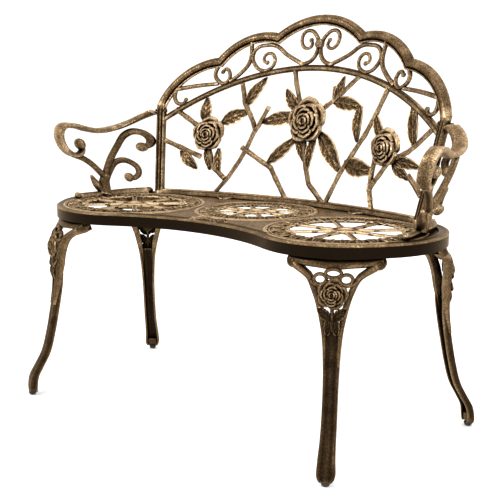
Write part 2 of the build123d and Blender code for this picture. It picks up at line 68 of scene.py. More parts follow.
def bronze(name, gold):
    """Antique bronze: dark brown ground, gold rubbed on edges and high spots, painted shade in hollows and
    near other parts, fine hammered grain.

    gold is how much was rubbed on: 0 leaves the dark ground, 1 is the usual coat; for the apron and the
    medallion grounds a low value also paints shade.
    """
    finish = bpy.data.materials.new(name)
    finish.use_nodes = True
    nodes, links = finish.node_tree.nodes, finish.node_tree.links
    shader = nodes["Principled BSDF"]
    place = nodes.new("ShaderNodeTexCoord")

    def noise(scale, detail):
        node = nodes.new("ShaderNodeTexNoise")
        node.inputs["Scale"].default_value = scale
        node.inputs["Detail"].default_value = detail
        links.new(place.outputs["Object"], node.inputs["Vector"])
        return node.outputs["Fac"]

    def ramp(value, stops):
        node = nodes.new("ShaderNodeValToRGB")
        while len(node.color_ramp.elements) < len(stops):
            node.color_ramp.elements.new(0.5)
        for element, (spot, colour) in zip(node.color_ramp.elements, stops):
            element.position = spot
            element.color = (*colour, 1) if len(colour) == 3 else (colour[0],) * 3 + (1,)
        links.new(value, node.inputs["Fac"])
        return node.outputs["Color"]

    def math_node(operation, first, second):
        node = nodes.new("ShaderNodeMath")
        node.operation = operation
        for socket, value in zip(node.inputs, (first, second)):
            if isinstance(value, (int, float)):
                socket.default_value = value
            else:
                links.new(value, socket)
        return node.outputs[0]

    edge = ramp(nodes.new("ShaderNodeNewGeometry").outputs["Pointiness"], [(0.495, (0,)), (0.575, (1,))])
    # Painted shade: ambient occlusion takes the gold out of hollows and darkens spots close to other parts.
    shade = nodes.new("ShaderNodeAmbientOcclusion")
    shade.samples = 6
    shade.inputs["Distance"].default_value = 0.014
    recess_shade = ramp(shade.outputs["AO"], [(0.45, (0,)), (0.92, (1,))])
    patches = ramp(noise(38, 3), [(0.36, (0,)), (0.66, (1,))])
    speck = ramp(noise(360, 3), [(0.42, (0,)), (0.60, (1,))])
    rub = math_node("ADD", math_node("MULTIPLY", patches, 0.16), 0.12)
    rub = math_node("ADD", rub, math_node("MULTIPLY", speck, 0.24))
    rub = math_node("ADD", rub, math_node("MULTIPLY", edge, 0.60))
    rub = math_node("MULTIPLY", rub, recess_shade)
    rub = math_node("MULTIPLY", rub, gold)
    colour = ramp(rub, [(0.0, (0.004, 0.0022, 0.001)), (0.20, (0.014, 0.0078, 0.0034)),
                        (0.42, (0.046, 0.028, 0.013)), (0.68, (0.155, 0.102, 0.054)),
                        (1.0, (0.50, 0.375, 0.235))])
    links.new(colour, shader.inputs["Base Color"])
    rough = ramp(speck, [(0.0, (0.44,)), (1.0, (0.30,))])
    links.new(rough, shader.inputs["Roughness"])
    shader.inputs["Metallic"].default_value = 0.6
    shader.inputs["Specular IOR Level"].default_value = 0.22
    shader.inputs["Specular Tint"].default_value = (1.0, 0.80, 0.58, 1)
    bump = nodes.new("ShaderNodeBump")
    bump.inputs["Strength"].default_value = 0.45
    bump.inputs["Distance"].default_value = 0.0007
    links.new(noise(480, 3), bump.inputs["Height"])
    links.new(bump.outputs["Normal"], shader.inputs["Normal"])
    return finish


seat_finish = bronze("rubbed seat bronze", 1.2)
frame_finish = bronze("antique bronze", 1.0)
relief_finish = bronze("rubbed leaf bronze", 1.3)
rose_finish = bronze("rubbed rose bronze", 0.95)
# Near-black copy for the medallion grounds: unrubbed ground, with painted shade between the leaves.
pit_shade_finish = bronze("unrubbed ground bronze with painted shade", 0.12)


def only(piece):
    """Select one piece alone."""
    bpy.ops.object.select_all(action="DESELECT")
    piece.select_set(True)
    bpy.context.view_layer.objects.active = piece


def joined(name, parts):
    """One piece from several meshes."""
    only(parts[0])
    for part in parts:
        part.select_set(True)
    if len(parts) > 1:
        bpy.ops.object.join()
    piece = bpy.context.object
    piece.name = name
    piece.data.name = name
    return piece


def section(points):
    """A closed cross-section for bars: across the bar, and out towards the viewer."""
    shape = bpy.data.curves.new("section", "CURVE")
    shape.dimensions = "2D"
    spline = shape.splines.new("POLY")
    spline.points.add(len(points) - 1)
    for point, (across, out) in zip(spline.points, points):
        point.co = (across, out, 0, 1)
    spline.use_cyclic_u = True
    holder = bpy.data.objects.new("section", shape)
    bpy.context.collection.objects.link(holder)
    return holder


def round_section(width, depth, sides=10):
    """An oval cross-section."""
    turns = [2 * math.pi * i / sides for i in range(sides)]
    return [(width / 2 * math.cos(a), depth / 2 * math.sin(a)) for a in turns]


def bar(route, shape, closed=False, sizes=None, steps=6, smooth=True):
    """Sweep a cross-section along a route drawn in the flat, and make it a mesh."""
    holder = section(shape)
    curve = bpy.data.curves.new("bar", "CURVE")
    curve.dimensions = "2D"
    curve.fill_mode = "NONE"
    curve.resolution_u = steps
    curve.bevel_mode = "OBJECT"
    curve.bevel_object = holder
    curve.use_fill_caps = True
    if smooth:
        spline = curve.splines.new("BEZIER")
        spline.bezier_points.add(len(route) - 1)
        for point, place in zip(spline.bezier_points, route):
            point.co = (*place, 0)
            point.handle_left_type = point.handle_right_type = "AUTO"
        points = spline.bezier_points
    else:
        spline = curve.splines.new("POLY")
        spline.points.add(len(route) - 1)
        for point, place in zip(spline.points, route):
            point.co = (*place, 0, 1)
        points = spline.points
    for i, point in enumerate(points):
        point.radius = sizes[i] if sizes else 1
    spline.use_cyclic_u = closed
    piece = bpy.data.objects.new("bar", curve)
    bpy.context.collection.objects.link(piece)
    only(piece)
    bpy.ops.object.convert(target="MESH")
    piece = bpy.context.object
    bpy.data.objects.remove(holder)
    return piece


def leaf(base, tip, width, lift=3.0, bow=0.0, thick=2.2):
    """A cast leaf in the flat: folded along its midrib, with slanting veins and a slightly waved edge."""
    bpy.ops.object.select_all(action="DESELECT")
    bpy.ops.mesh.primitive_grid_add(x_subdivisions=12, y_subdivisions=22, size=2, location=(0, 0, 0))
    piece = bpy.context.object
    length = math.hypot(tip[0] - base[0], tip[1] - base[1])
    along = Vector((tip[0] - base[0], tip[1] - base[1])) / length
    across = Vector((along.y, -along.x))
    for vertex in piece.data.vertices:
        side, t = vertex.co.x, (vertex.co.y + 1) / 2
        half = width / 2 * math.sin(math.pi * min(1, 0.02 + 0.98 * t ** 0.85)) ** 0.8 + 0.4
        half *= 1 + 0.025 * math.sin(14 * math.pi * t)
        reach = abs(side)
        rib = 1.5 * math.exp(-(side / 0.16) ** 2) + 0.8 * reach ** 8
        veins = 0.75 * math.sin(2 * math.pi * (4.5 * t - 1.4 * reach)) * min(1, 3 * reach) * (1 - reach ** 4)
        fold = 2.2 * math.sin(math.pi * t) * (reach - 0.4 * reach ** 3)
        out = lift * math.sin(math.pi * t) + rib + veins + fold
        spot = Vector(base) + along * length * t + across * (side * half + bow * math.sin(math.pi * t))
        vertex.co = (spot.x, spot.y, out)
    wall = piece.modifiers.new("wall", "SOLIDIFY")
    wall.thickness = thick
    wall.offset = -1
    only(piece)
    bpy.ops.object.modifier_apply(modifier="wall")
    return piece


def ball(place, radius, out=0.0, flat=1.0):
    """A ball, flattened towards the sheet by the flat factor."""
    bpy.ops.object.select_all(action="DESELECT")
    bpy.ops.mesh.primitive_uv_sphere_add(segments=14, ring_count=9, radius=radius, location=(*place, out))
    piece = bpy.context.object
    piece.scale = (1, 1, flat)
    bpy.ops.object.transform_apply(location=True, rotation=True, scale=True)
    return piece


def settle(piece, place, finish, nodes=(), angle=40):
    """Carry the flat mesh to its place, in metres, and hand it to the frame."""
    for vertex in piece.data.vertices:
        vertex.co = place(*vertex.co)
    piece.data.materials.clear()
    piece.data.materials.append(finish)
    only(piece)
    bpy.ops.object.mode_set(mode="EDIT")
    bpy.ops.mesh.select_all(action="SELECT")
    bpy.ops.mesh.remove_doubles(threshold=0.00002)
    bpy.ops.mesh.normals_make_consistent(inside=False)
    bpy.ops.object.mode_set(mode="OBJECT")
    bpy.ops.object.shade_smooth_by_angle(angle=math.radians(angle))
    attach(piece, "root")
    if nodes:
        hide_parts(*nodes)


def on_seat(x, y, out):
    """A point of the flat seat, out above its top."""
    return (x / 1000, y / 1000, (SEAT_TOP + out) / 1000)


def polar(centre, radius, angle):
    """A point round a centre."""
    return (centre[0] + radius * math.cos(angle), centre[1] + radius * math.sin(angle))


def arc(centre, radius, start, end, count):
    """Points along an arc, without its last one, so that a full turn closes cleanly."""
    return [polar(centre, radius, start + (end - start) * i / count) for i in range(count)]


def seat_outline(inset):
    """Closed route along the seat's edge, a little inside it."""
    hollow = LOBE[1] - FRONT_EDGE
    front_radius = (LOBE[0] ** 2 + hollow ** 2 - LOBE_RADIUS ** 2) / (2 * (LOBE_RADIUS - hollow))
    front_centre = (0, FRONT_EDGE - front_radius)
    meet = math.atan2(LOBE[1] - front_centre[1], LOBE[0])
    rear_centre = (0, BACK_Y - BACK_RADIUS)
    rear = math.atan2(CORNER[1] - rear_centre[1], CORNER[0])
    rear_radius = math.hypot(CORNER[0], CORNER[1] - rear_centre[1]) + LOBE_RADIUS
    side = math.atan2(CORNER[1] - LOBE[1], CORNER[0] - LOBE[0]) - math.pi / 2
    half = arc(front_centre, front_radius + inset, math.pi / 2, meet, 12)
    half += arc(LOBE, LOBE_RADIUS - inset, meet - math.pi, side, 26)
    half += arc(CORNER, LOBE_RADIUS - inset, side, rear, 18)
    half += arc(rear_centre, rear_radius - inset, rear, math.pi / 2, 14)
    half.append((0, rear_centre[1] + rear_radius - inset))
    return half + [(-x, y) for x, y in reversed(half[1:-1])]


def outline_curve(routes, half_thick):
    """A flat plate: the first route is its edge and the others are holes."""
    shape = bpy.data.curves.new("plate", "CURVE")
    shape.dimensions = "2D"
    shape.fill_mode = "BOTH"
    shape.extrude = half_thick
    for route in routes:
        spline = shape.splines.new("POLY")
        spline.points.add(len(route) - 1)
        for point, place in zip(spline.points, route):
            point.co = (*place, 0, 1)
        spline.use_cyclic_u = True
    piece = bpy.data.objects.new("plate", shape)
    bpy.context.collection.objects.link(piece)
    only(piece)
    bpy.ops.object.convert(target="MESH")
    return bpy.context.object


def piercings(centre, ring):
    """Hub hole, gaps between the spokes, and small holes that part the leaves of the band."""
    inner = ring - LEAF_BAND
    near, far = math.asin(SPOKE_HALF / HUB_RADIUS), math.asin(SPOKE_HALF / inner)
    step = 2 * math.pi / SPOKES
    holes = [arc(centre, HUB_HOLE, 0, 2 * math.pi, 24)]
    for i in range(SPOKES):
        start, end = step * i, step * (i + 1)
        gap = arc(centre, inner, start + far, end - far, 12) + [polar(centre, inner, end - far)]
        gap += arc(centre, HUB_RADIUS, end - near, start + near, 4)
        gap.append(polar(centre, HUB_RADIUS, start + near))
        holes.append(gap)
    for i in range(4 * SPOKES):
        spot = polar(centre, inner + 0.56 * LEAF_BAND, step * (i + 0.5) / 4)
        holes.append(arc(spot, LEAF_HOLE, 0, 2 * math.pi, 12))
    return holes


routes = [seat_outline(0.6)]
for centre, ring in (((-LOBE[0], LOBE[1]), END_RING), (MIDDLE, MIDDLE_RING), (LOBE, END_RING)):
    routes += piercings(centre, ring)
plate = outline_curve(routes, PLATE / 2)
for vertex in plate.data.vertices:
    vertex.co.z -= PLATE / 2
bosses = []
for corner, leg_turn in ((LOBE, FRONT_LEG_TURN), (CORNER, REAR_LEG_TURN)):
    for turn in (-BOSS_TURN, BOSS_TURN):
        spot = polar(corner, BOSS_REACH, math.radians(leg_turn + turn))
        for sign in (-1, 1):
            bpy.ops.object.select_all(action="DESELECT")
            bpy.ops.mesh.primitive_cylinder_add(vertices=24, radius=BOSS_RADIUS, depth=BOSS_LENGTH,
                                                location=(sign * spot[0], spot[1], -PLATE - BOSS_LENGTH / 2))
            bosses.append(bpy.context.object)
            bpy.ops.object.transform_apply(location=True, rotation=True, scale=True)
settle(joined("seat_casting", [plate, *bosses]), on_seat, bronze("seat plate bronze", 0.62), ["seat_plate"])

rim = bar(seat_outline(11), [(-10, -1), (-9.4, 1.4), (-7, 2.6), (-4.6, 1.2), (-1.6, 1.0), (1.6, 1.0),
                             (4.6, 1.6), (7, 3.0), (9.6, 1.8), (10.4, -1)], closed=True, smooth=False)
lip_section = [(-2, 1.2), (0, 2.2), (2, 1.2), (2.5, -0.5), (1.6, -2.2), (-1.6, -2.2), (-2.5, -0.5)]
lip = bar(seat_outline(1.2), lip_section, closed=True, smooth=False)
front = [point for point in seat_outline(1.2) if point[1] < SKIRT_END]
split = max(range(len(front)), key=lambda i: math.dist(front[i - 1], front[i]))
apron_section = [(-1.8, -1.8), (1.8, -1.8), (1.8, -22.6), (-1.8, -22.6)]
apron = bar(front[split:] + front[:split], apron_section, smooth=False)
settle(joined("seat_rim", [rim, lip]), on_seat, bronze("seat rim bronze", 0.78))
# The apron gets almost no gold: its near black is painted shade on the upright face below the seat's edge.
settle(joined("seat_apron", [apron]), on_seat, bronze("painted shade apron bronze", 0.10))


def medallion(centre, ring, name):
    """Beaded rings, a band of leaves that scallops the opening, spokes with raised edges and a hub."""
    inner = ring - LEAF_BAND
    parts = []
    for radius, width, height in ((ring + 4, 9, 2.6), (inner + 2, 5, 1.9), (ring - 4, 3.4, 2.0)):
        circle = arc(centre, radius, 0, 2 * math.pi, 72)
        parts.append(bar(circle, round_section(width, 2 * height, 8), closed=True, smooth=False))
    count = 2 * SPOKES
    for i in range(count):
        turn = 2 * math.pi * (i + 0.5) / count
        step = math.pi / count
        parts.append(leaf(polar(centre, ring - 6, turn), polar(centre, inner - 6, turn), 18, 1.6, 0.5, 1.6))
        parts.append(leaf(polar(centre, inner + 5, turn + step), polar(centre, ring - 1, turn + step),
                          13, 1.4, 0, 1.6))
        parts.append(ball(polar(centre, inner + 2, turn + step), 4.0, 0.8, 0.7))
    for i in range(BEADS):
        turn = 2 * math.pi * i / BEADS
        parts.append(ball(polar(centre, ring - 0.2, turn), 2.6, 1.0, 0.8))
    spoke = [(-5.0, -3.4), (-5.0, 0.2), (-4.4, 1.0), (-3.2, 1.6), (-1.8, 0.4), (0, -0.2), (1.8, 0.4),
             (3.2, 1.6), (4.4, 1.0), (5.0, 0.2), (5.0, -3.4)]
    for i in range(SPOKES):
        turn = 2 * math.pi * i / SPOKES
        route = [polar(centre, r, turn) for r in (HUB_RADIUS - 3, 0.5 * inner, inner - 8, inner + 4)]
        parts.append(bar(route, spoke, sizes=[1.15, 0.95, 1.0, 1.5], steps=3))
    edges = [arc(centre, radius, 0, 2 * math.pi, 72) for radius in (ring - 1, inner + 1)]
    # A thin near-black sheet on the plate under the leaf band: the unrubbed ground, darkened further as
    # painted shade between the leaves.
    ground = outline_curve([*edges, *piercings(centre, ring)[1 + SPOKES:]], 0.25)
    for vertex in ground.data.vertices:
        vertex.co.z += 0.2
    settle(joined(f"{name}_ground", [ground]), on_seat, pit_shade_finish)
    hub = arc(centre, HUB_RADIUS - 7, 0, 2 * math.pi, 40)
    hub_shape = [(-7.5, -3.4), (-7.5, 0.8), (-5, 2.4), (-2, 0.9), (2, 0.9), (5, 2.4), (7.5, 0.8), (7.5, -3.4)]
    parts.append(bar(hub, hub_shape, closed=True, smooth=False))
    settle(joined(name, parts), on_seat, seat_finish)


medallion((-LOBE[0], LOBE[1]), END_RING, "medallion_left")
medallion(MIDDLE, MIDDLE_RING, "medallion_middle")
medallion(LOBE, END_RING, "medallion_right")

# Small sprays of leaves in the gaps between the medallions.
sprays = []
for x in (-1, 1):
    for spread in (-0.9, -0.3, 0.3, 0.9):
        root = (x * 12, -112)
        turn = -math.pi / 2 + x * 0.9 + spread * 0.5
        sprays.append(leaf(root, polar(root, 44 - 10 * abs(spread), turn), 15, 2))
    for spread in (-1, 0, 1):
        root = (x * 176, 128)
        turn = math.pi / 2 - x * 0.25 + spread * 0.75
        sprays.append(leaf(root, polar(root, 34, turn), 16, 2))
settle(joined("seat_sprays", sprays), on_seat, seat_finish)

# ---------------------------------------------------------------- Back frame
# Two fluted posts, a crest of five lobes, a slimmer arch inside it and a rail along the seat.
# The whole back is one casting, drawn flat and then bent to the sitter and leaned to the rear.
BACK_LEAN = math.radians(14.9)


def on_back(x, rise, out):
    """A point of the flat pattern, carried to the bent and leaning sheet."""
    turn = math.asin(x / BACK_RADIUS)
    reach = BACK_RADIUS - out
    y = BACK_Y - BACK_RADIUS + reach * math.cos(turn) + rise * math.tan(BACK_LEAN)
    return (reach * math.sin(turn) / 1000, y / 1000, (SEAT_TOP + rise) / 1000)


def through(points, count):
    """Points along a circular arc through three points."""
    (ax, ay), (bx, by), (cx, cy) = points
    d = 2 * (ax * (by - cy) + bx * (cy - ay) + cx * (ay - by))
    aa, bb, cc = ax * ax + ay * ay, bx * bx + by * by, cx * cx + cy * cy
    ux = (aa * (by - cy) + bb * (cy - ay) + cc * (ay - by)) / d
    uy = (aa * (cx - bx) + bb * (ax - cx) + cc * (bx - ax)) / d
    start, end = math.atan2(ay - uy, ax - ux), math.atan2(cy - uy, cx - ux)
    if abs(end - start) > math.pi:
        end += 2 * math.pi if end < start else -2 * math.pi
    return arc((ux, uy), math.hypot(ax - ux, ay - uy), start, end, count) + [points[2]]


outer_dip, inner_dip = (254, 307), (113, 361)       # where the crest's lobes meet
crest_half = through([(380, 205), (343, 266), outer_dip], 16)[:-1]
crest_half += through([outer_dip, (187, 357), inner_dip], 14)[:-1]
crest_top = through([inner_dip, (0, 401), (-inner_dip[0], inner_dip[1])], 20)
crest_route = crest_half + crest_top + [(-x, z) for x, z in reversed(crest_half)]
crest_section = [(-13, 1), (-12.6, 4.4), (-11, 5.6), (-9, 5.2), (-7.8, 3.2), (-6.6, 5.4), (-4.4, 8),
                 (-1, 9.6), (3, 9.8), (6.6, 8.2), (9.4, 5), (10.8, 1), (10.8, -3), (9.4, -7), (6, -9.4),
                 (-5, -9.4), (-9, -7.4), (-12.4, -4)]
crest = bar(crest_route, crest_section, smooth=False)
settle(joined("crest", [crest]), on_back, frame_finish, ["back_crest"], 35)

arch_section = [(-7, 0), (-6.8, 2.4), (-5.6, 3.6), (-4.4, 3.4), (-3.2, 5.4), (0, 6.6), (3.2, 5.4), (4.4, 3.4),
                (5.6, 3.6), (6.8, 2.4), (7, 0), (5.6, -6), (-5.6, -6)]
arch = bar(through([(370, 172), (0, 295.5), (-370, 172)], 60), arch_section, smooth=False)
settle(joined("arch", [arch]), on_back, frame_finish, ["back_arch"], 35)

post_section = [(-10.5, 0), (-10, 4.5), (-7.6, 7.6), (-5.4, 8.6), (-3.8, 6.4), (-2.2, 8.8), (0, 9.2),
                (2.2, 8.8), (3.8, 6.4), (5.4, 8.6), (7.6, 7.6), (10, 4.5), (10.5, 0), (9.4, -6), (6, -8.8),
                (-6, -8.8), (-9.4, -6)]
for side, sign in (("right", 1), ("left", -1)):
    route = [(sign * 350, 0.2), (sign * 361, 75), (sign * 371, 145), (sign * 377, 188), (sign * 380, 208)]
    shaft = bar(route, post_section, steps=10)
    collar = bar([(sign * 349.5, 0.5), (sign * 350.5, 9)], round_section(27, 25, 16), sizes=[1, 0.86],
                 smooth=False)
    knee = ball((sign * 379.5, 204), 11.2, 0.5, 0.86)
    settle(joined(f"post_{side}", [shaft, collar, knee]), on_back, frame_finish, [f"back_post_{side}"], 35)

rail_section = [(-6, -7.5), (-6, 6.5), (-4.5, 8), (2.5, 8), (3.4, 6.6), (5.9, 6.2), (6.4, 4), (6.4, -6),
                (4, -8)]
rail_route = [(-345 + 690 * i / 40, 6) for i in range(41)]
rail = bar(rail_route, [(-x, y) for x, y in rail_section], smooth=False)
settle(joined("seat_rail", [rail]), on_back, frame_finish, ["back_seat_rail"], 35)

# ---------------------------------------------------------------- Scrolls of the crest
# Round bars between crest and arch, most of them rolled into a volute round a small ball.
# A collar ties the two middle ones together like a lyre.
scroll_section = round_section(9.8, 10.8, 12)


def volute(route, sign, thin=0.72):
    """One scroll with a tapering bar and a ball in its eye."""
    route = [(sign * x, z) for x, z in route]
    count = len(route) - 1
    sizes = [1 - (1 - thin) * i / count for i in range(count + 1)]
    return [bar(route, scroll_section, sizes=sizes, steps=8), ball(route[-1], 5.2, 0, 0.95)]


lyre = []
for sign in (1, -1):
    lyre += volute([(40, 302), (16, 312), (5, 330), (4.2, 348), (14, 367), (32, 377), (47, 371),
                    (50, 355), (42, 341), (29, 338), (21, 346), (25, 356)], sign)
settle(joined("lyre", lyre), on_back, frame_finish, ["scroll_lyre"])

collar_band = bar([(0, 341), (0, 355)], round_section(19, 17, 14), sizes=[0.92, 0.92], smooth=False)
collar_rims = [bar([(0, z - 1.4), (0, z), (0, z + 1.4)], round_section(21, 18.6, 14), sizes=[0.93, 1, 0.93],
                   smooth=False) for z in (342.5, 353.5)]
collar_knob = ball((0, 348), 11, 2)
settle(joined("collar", [collar_band, *collar_rims, collar_knob]), on_back, frame_finish, ["back_collar"], 30)

for side, sign in (("right", 1), ("left", -1)):
    large = volute([(38, 303), (84, 324), (115, 343), (141, 345), (165, 338), (173, 321), (164, 301),
                    (146, 289), (126, 291), (114, 304), (117, 320), (131, 327), (142, 320), (141, 309),
                    (133, 306)], sign)
    large.append(bar([(sign * x, z) for x, z in ((181, 352), (179, 307), (198, 281), (221, 263))],
                     scroll_section, steps=8))
    settle(joined(f"scroll_large_{side}", large), on_back, frame_finish, [f"scroll_large_{side}"])
    small = volute([(257, 297), (261, 277), (250, 263), (236, 258), (225, 267), (226, 283), (236, 291),
                    (243, 284)], sign, 0.8)
    settle(joined(f"scroll_small_{side}", small), on_back, frame_finish, [f"scroll_small_{side}"])
    hook = volute([(352, 238), (351, 222), (341, 210), (328, 211), (324, 219)], sign, 0.8)
    brace = [(350, 243), (297, 252), (250, 257)]
    hook.append(bar([(sign * x, z) for x, z in brace], scroll_section, sizes=[1.1, 1, 0.9], steps=8))
    settle(joined(f"scroll_side_{side}", hook), on_back, frame_finish, [f"scroll_side_{side}"])

# ---------------------------------------------------------------- Rose stems and leaves
# Three sprays of knotty stems that grow from the seat rail, posts and arch, with veined leaves.
# Stems swell at their knots and end square, like pruned twigs.
VINES = {
    "left": (
        [[(-345, 197), (-314, 178), (-288, 162), (-262, 150)], [(-358, 124), (-316, 108), (-264, 89)],
         [(-250, 118), (-238, 88), (-225, 64), (-196, 43)],
         [(-215, 8), (-187, 45), (-165, 83), (-152, 111), (-139, 148), (-131, 161), (-110, 208)],
         [(-188, 258), (-180, 236), (-174, 215), (-156, 190), (-143, 170), (-137, 157)],
         [(-164, 115), (-150, 108), (-108, 87), (-78, 73), (-63, 54), (-25, 8)]],
        [((-270, 170), (-271, 224), 24), ((-226, 168), (-160, 196), 28), ((-316, 102), (-268, 62), 20),
         ((-255, 108), (-236, 60), 15), ((-222, 110), (-212, 56), 16), ((-171, 208), (-126, 272), 24),
         ((-90, 84), (-20, 146), 24)]),
    "middle": (
        [[(-56, 294), (-46, 262), (-28, 219), (-15, 200)], [(30, 200), (44, 214), (62, 226), (60, 258)],
         [(62, 226), (82, 244), (104, 264), (127, 284)], [(-2, 150), (4, 118), (15, 82), (31, 46), (78, 8)]],
        [((-34, 188), (-121, 172), 28), ((-28, 200), (-70, 248), 22), ((66, 226), (82, 278), 18),
         ((62, 224), (144, 214), 26), ((138, 218), (143, 142), 22), ((38, 156), (110, 76), 34),
         ((26, 148), (20, 78), 18), ((-22, 142), (8, 92), 15)]),
    "right": (
        [[(82, 8), (112, 78), (137, 118), (162, 158), (183, 199), (209, 262)],
         [(213, 8), (205, 30), (198, 51), (198, 85), (203, 124), (215, 135)],
         [(199, 50), (208, 66), (219, 80), (243, 115)], [(262, 120), (288, 132), (309, 148), (352, 186)],
         [(300, 88), (322, 72), (345, 52)]],
        [((117, 98), (200, 86), 34), ((216, 150), (184, 204), 20), ((300, 146), (284, 232), 24),
         ((250, 112), (330, 106), 20), ((250, 110), (306, 80), 18)]),
}


def stem(route, seed):
    """A knotty twig: a round bar that swells and thins along its length."""
    fine = []
    for (x0, z0), (x1, z1) in zip(route, route[1:]):
        for i in range(3):
            fine.append((x0 + (x1 - x0) * i / 3, z0 + (z1 - z0) * i / 3))
    fine.append(route[-1])
    sizes = [1 + 0.07 * math.sin(2.3 * i + seed) for i in range(len(fine))]
    for i in range(0, len(fine), 3):
        sizes[i] += 0.08
    knots = round_section(10.2, 10.6, 10)
    knots = [(x * (1.1 if i % 2 else 0.94), y * (1.1 if i % 2 else 0.94)) for i, (x, y) in enumerate(knots)]
    return bar(fine, knots, sizes=sizes, steps=4)


for name, (stems, leaves) in VINES.items():
    parts = [stem(route, i) for i, route in enumerate(stems)]
    settle(joined(f"rose_stems_{name}", parts), on_back, frame_finish, [f"vine_{name}"])
    parts = [leaf(base, tip, 1.14 * width, 3.6, 2.0 * (-1) ** i, 3.0)
             for i, (base, tip, width) in enumerate(leaves)]
    settle(joined(f"rose_leaves_{name}", parts), on_back, relief_finish)

# ---------------------------------------------------------------- Roses
# Open cabbage roses in high relief: rounds of cupped petals with rolled lips, round a tight heart.
ROSES = {"left": ((-252, 143), 36), "middle": ((2, 182), 46), "right": ((231, 138), 36)}
ROSE_HEIGHT, ROSE_LEAN = 21, 0.4


def petal(centre, turn, spread, inner, outer, low, high, thick):
    """One cupped petal with its lip rolled over."""
    bpy.ops.object.select_all(action="DESELECT")
    bpy.ops.mesh.primitive_grid_add(x_subdivisions=12, y_subdivisions=10, size=2, location=(0, 0, 0))
    piece = bpy.context.object
    for vertex in piece.data.vertices:
        side, t = vertex.co.x, (vertex.co.y + 1) / 2
        rim_radius = outer * (1 - 0.16 * side ** 2 - 0.05 * side ** 4 + 0.02 * math.cos(9 * side))
        radius = inner + (rim_radius - inner) * t
        angle = turn + spread * side * (0.7 + 0.3 * t)
        rise = low + (high - low) * math.sin(min(1.0, t / 0.86) * math.pi / 2)
        rise -= (high - low) * 0.30 * math.sin(math.pi * min(1, t / 0.8)) * (1 - side ** 2)
        rise -= (high - low) * 0.60 * max(0.0, (t - 0.86) / 0.14) ** 2
        rise += (0.9 * math.cos(4 * side) + 1.6 * side) * t
        vertex.co = (*polar(centre, radius, angle), rise)
    wall = piece.modifiers.new("wall", "SOLIDIFY")
    wall.thickness = thick
    wall.offset = -1
    only(piece)
    bpy.ops.object.modifier_apply(modifier="wall")
    return piece


def rose(centre, radius, height, lean=0.0):
    """Petals in rounds from the outside in, over a backing disc.

    Each round has a count, a half width in radians, inner and outer radius as shares of the rose's
    radius, and low and high lift as shares of its height.
    """
    parts = []
    rounds = [(5, 0.70, 0.45, 1.07, 0.0, 0.46), (5, 0.72, 0.40, 0.82, 0.10, 0.72),
              (4, 0.88, 0.27, 0.58, 0.25, 0.90), (3, 1.12, 0.14, 0.37, 0.45, 1.0),
              (2, 1.55, 0.04, 0.19, 0.60, 1.06)]
    for layer, (count, spread, inner, outer, low, high) in enumerate(rounds):
        for i in range(count):
            turn = 2 * math.pi * i / count + 0.7 * layer + lean
            parts.append(petal(centre, turn, spread, inner * radius, outer * radius, low * height,
                               high * height, 0.045 * radius + 0.6))
    parts.append(ball(centre, 0.11 * radius, 0.86 * height, 0.8))
    parts.append(ball(centre, 0.72 * radius, -1.5, 5.0 / (0.72 * radius)))
    return parts


for name, (centre, radius) in ROSES.items():
    petals = rose(centre, radius, ROSE_HEIGHT, ROSE_LEAN)
    settle(joined(f"rose_{name}", petals), on_back, rose_finish, [f"rose_{name}"], 50)

# ---------------------------------------------------------------- Arms
# Each arm is one casting: a crowned band that rolls over at the front, on scrolled struts from a base
# rail.  It stands on a sheet that leans outward, toes out at the front and turns in to meet the post.
ARM_X, ARM_LEAN, ARM_TOE, ARM_BEND, ARM_BEND_Y = 414, 0.33, 0.17, 126, 1
ARM_SHORTEN = 0.85      # of the run ahead of ARM_BEND_Y
ARM_REAR_STRETCH = 12   # added to the bend's run to the rear


def on_arm(y, rise, out):
    """A side-view point of the right arm, carried to its leaning, turned-in sheet."""
    shift = ARM_LEAN * rise
    centre = ARM_X - ARM_BEND
    if y <= ARM_BEND_Y:
        forward = (ARM_BEND_Y - y) * ARM_SHORTEN
        return ((ARM_X + shift + out + ARM_TOE * forward) / 1000, (ARM_BEND_Y - forward) / 1000,
                (SEAT_TOP + rise) / 1000)
    turn = math.asin(min(1.0, (y - ARM_BEND_Y) / (ARM_BEND + ARM_REAR_STRETCH)))
    reach = ARM_BEND + out
    return ((centre + shift + reach * math.cos(turn)) / 1000,
            (ARM_BEND_Y + (ARM_BEND + ARM_REAR_STRETCH + out) * math.sin(turn)) / 1000,
            (SEAT_TOP + rise) / 1000)


def on_left_arm(y, rise, out):
    x, y, z = on_arm(y, rise, out)
    return (-x, y, z)


band_section = [(-5.2, -13), (-5.8, 0), (-5.2, 13), (-2, 15), (2, 14.4), (4.8, 11), (6.4, 5), (6.8, 0),
                (6.4, -5), (4.8, -11), (2, -14.4), (-2, -15)]
band_route = [(130, 190), (119, 182), (86, 163), (50, 152), (14, 149), (-28, 155), (-66, 164),
              (-92, 163), (-108, 148), (-108, 122), (-92, 103), (-70, 98), (-54, 106), (-50, 118)]
band_sizes = [1, 1, 1, 0.98, 1, 1, 1.02, 1.05, 1.05, 1.0, 0.92, 0.82, 0.72, 0.62]
strut_section = round_section(15.5, 14.5, 14)
base_section = [(-6.2, -7), (-6.2, 7), (2, 7.4), (5, 5.2), (6.4, 2.6), (6.8, 0), (6.4, -2.6), (5, -5.2),
                (2, -7.4)]


